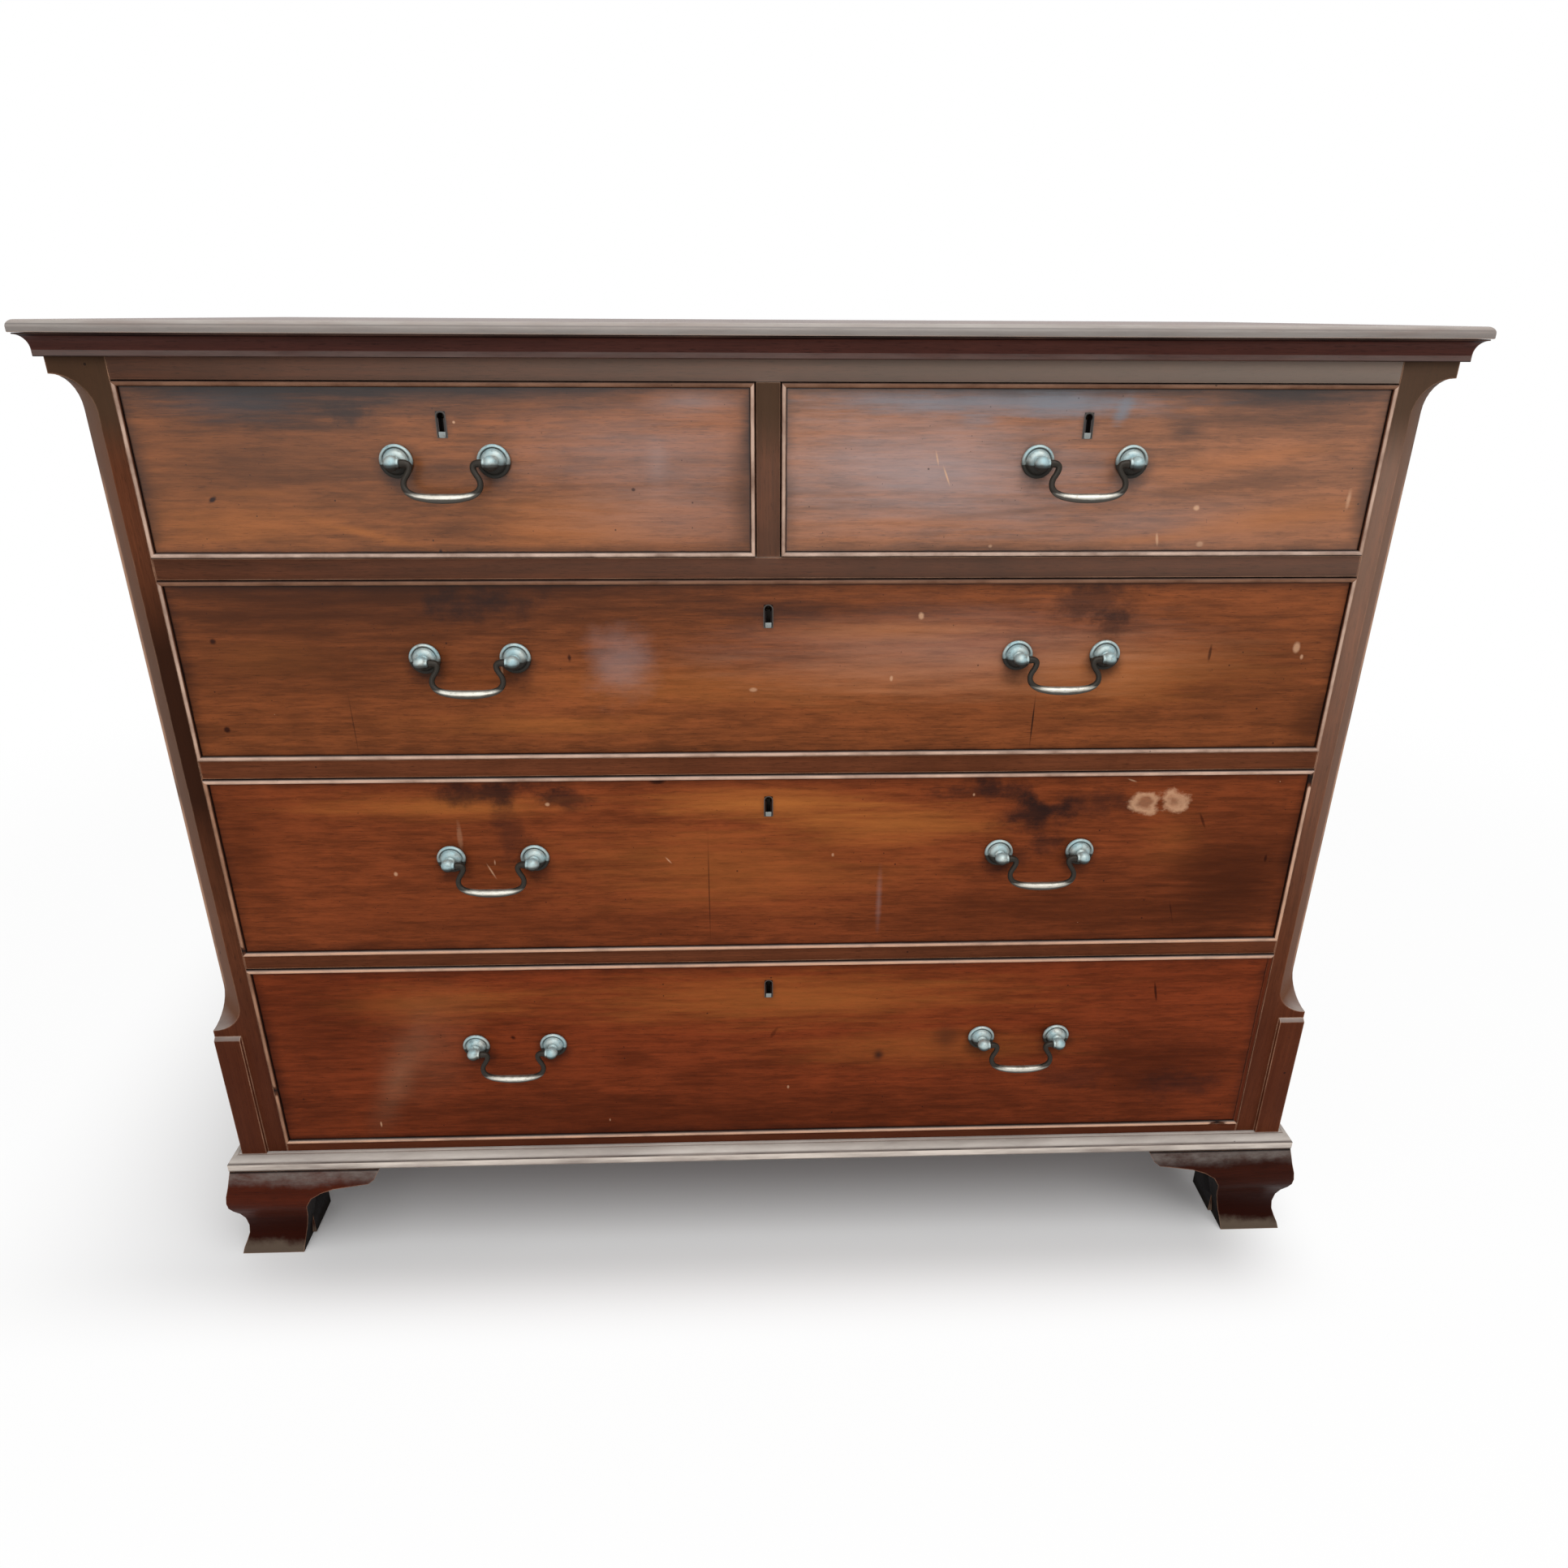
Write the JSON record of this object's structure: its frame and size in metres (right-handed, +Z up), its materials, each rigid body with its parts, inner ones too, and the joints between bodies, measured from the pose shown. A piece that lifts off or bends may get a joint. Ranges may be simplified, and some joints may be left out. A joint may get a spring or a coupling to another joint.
{
  "type": "chest of drawers",
  "caption": "Freestanding mahogany chest of short drawers over long ones, with canted corners, cockbeaded fronts, swinging bail handles and ogee bracket feet.",
  "frame": {"origin": "middle of the bounding box on the floor, handles included", "axes": "+X along the front to the viewer's right, +Y from the front to the back, +Z up"},
  "size_m": [1.1268, 0.5242, 0.9145],
  "materials": {
    "top_mahogany": "old wax polish, worn pale along the edge",
    "carcass_mahogany": "dark mahogany, old wax polish",
    "drawer_mahogany": "figured mahogany, wax polish with dark stains",
    "bead_mahogany": "lighter worn mahogany bead",
    "moulding_mahogany": "dusty rubbed mahogany",
    "foot_mahogany": "dark red mahogany, scuffed pale at the floor",
    "oak": "dry unfinished oak",
    "pine": "dry unfinished pine",
    "aged_brass": "tarnished brass with a blue-green bloom",
    "lock_brass": "dull brass"
  },
  "bodies": {
    "carcass": {"side_left": "carcass_mahogany", "side_right": "carcass_mahogany", "frieze_rail": "carcass_mahogany", "divider_upper": "carcass_mahogany", "divider_middle": "carcass_mahogany", "divider_lower": "carcass_mahogany", "muntin": "carcass_mahogany", "bottom_board": "carcass_mahogany", "back_panel": "pine", "top_board": "top_mahogany", "top_moulding": "moulding_mahogany", "base_moulding": "moulding_mahogany", "foot_front_left": "foot_mahogany", "foot_front_right": "foot_mahogany", "foot_back_left": "foot_mahogany", "foot_back_right": "foot_mahogany"},
    "drawer_top_left": {"top_left_front": "drawer_mahogany", "top_left_cockbead": "bead_mahogany", "top_left_box": "oak", "top_left_lock": "lock_brass", "top_left_post_left": "aged_brass", "top_left_post_right": "aged_brass"},
    "drawer_top_right": {"top_right_front": "drawer_mahogany", "top_right_cockbead": "bead_mahogany", "top_right_box": "oak", "top_right_lock": "lock_brass", "top_right_post_left": "aged_brass", "top_right_post_right": "aged_brass"},
    "drawer_upper": {"upper_front": "drawer_mahogany", "upper_cockbead": "bead_mahogany", "upper_box": "oak", "upper_lock": "lock_brass", "upper_left_post_left": "aged_brass", "upper_left_post_right": "aged_brass", "upper_right_post_left": "aged_brass", "upper_right_post_right": "aged_brass"},
    "drawer_middle": {"middle_front": "drawer_mahogany", "middle_cockbead": "bead_mahogany", "middle_box": "oak", "middle_lock": "lock_brass", "middle_left_post_left": "aged_brass", "middle_left_post_right": "aged_brass", "middle_right_post_left": "aged_brass", "middle_right_post_right": "aged_brass"},
    "drawer_lower": {"lower_front": "drawer_mahogany", "lower_cockbead": "bead_mahogany", "lower_box": "oak", "lower_lock": "lock_brass", "lower_left_post_left": "aged_brass", "lower_left_post_right": "aged_brass", "lower_right_post_left": "aged_brass", "lower_right_post_right": "aged_brass"},
    "bail_top_left": {"top_left_bail": "aged_brass"},
    "bail_top_right": {"top_right_bail": "aged_brass"},
    "bail_upper_left": {"upper_left_bail": "aged_brass"},
    "bail_upper_right": {"upper_right_bail": "aged_brass"},
    "bail_middle_left": {"middle_left_bail": "aged_brass"},
    "bail_middle_right": {"middle_right_bail": "aged_brass"},
    "bail_lower_left": {"lower_left_bail": "aged_brass"},
    "bail_lower_right": {"lower_right_bail": "aged_brass"}
  },
  "joints": [
    {"name": "drawer_top_left_slide", "type": "slide", "parent": "carcass", "child": "drawer_top_left", "axis": [0, -1, 0], "range_m": [0, 0.36]},
    {"name": "drawer_top_right_slide", "type": "slide", "parent": "carcass", "child": "drawer_top_right", "axis": [0, -1, 0], "range_m": [0, 0.36]},
    {"name": "drawer_upper_slide", "type": "slide", "parent": "carcass", "child": "drawer_upper", "axis": [0, -1, 0], "range_m": [0, 0.36]},
    {"name": "drawer_middle_slide", "type": "slide", "parent": "carcass", "child": "drawer_middle", "axis": [0, -1, 0], "range_m": [0, 0.36]},
    {"name": "drawer_lower_slide", "type": "slide", "parent": "carcass", "child": "drawer_lower", "axis": [0, -1, 0], "range_m": [0, 0.36]},
    {"name": "bail_top_left_swing", "type": "hinge", "parent": "drawer_top_left", "child": "bail_top_left", "pos_m": [-0.2542, -0.25285, 0.8132], "axis": [-1, 0, 0], "range_deg": [0, 100]},
    {"name": "bail_top_right_swing", "type": "hinge", "parent": "drawer_top_right", "child": "bail_top_right", "pos_m": [0.2542, -0.25285, 0.8132], "axis": [-1, 0, 0], "range_deg": [0, 100]},
    {"name": "bail_upper_left_swing", "type": "hinge", "parent": "drawer_upper", "child": "bail_upper_left", "pos_m": [-0.2525, -0.25285, 0.65225], "axis": [-1, 0, 0], "range_deg": [0, 100]},
    {"name": "bail_upper_right_swing", "type": "hinge", "parent": "drawer_upper", "child": "bail_upper_right", "pos_m": [0.2525, -0.25285, 0.65225], "axis": [-1, 0, 0], "range_deg": [0, 100]},
    {"name": "bail_middle_left_swing", "type": "hinge", "parent": "drawer_middle", "child": "bail_middle_left", "pos_m": [-0.2525, -0.25285, 0.4618], "axis": [-1, 0, 0], "range_deg": [0, 100]},
    {"name": "bail_middle_right_swing", "type": "hinge", "parent": "drawer_middle", "child": "bail_middle_right", "pos_m": [0.2525, -0.25285, 0.4618], "axis": [-1, 0, 0], "range_deg": [0, 100]},
    {"name": "bail_lower_left_swing", "type": "hinge", "parent": "drawer_lower", "child": "bail_lower_left", "pos_m": [-0.2525, -0.25285, 0.2523], "axis": [-1, 0, 0], "range_deg": [0, 100]},
    {"name": "bail_lower_right_swing", "type": "hinge", "parent": "drawer_lower", "child": "bail_lower_right", "pos_m": [0.2525, -0.25285, 0.2523], "axis": [-1, 0, 0], "range_deg": [0, 100]}
  ]
}
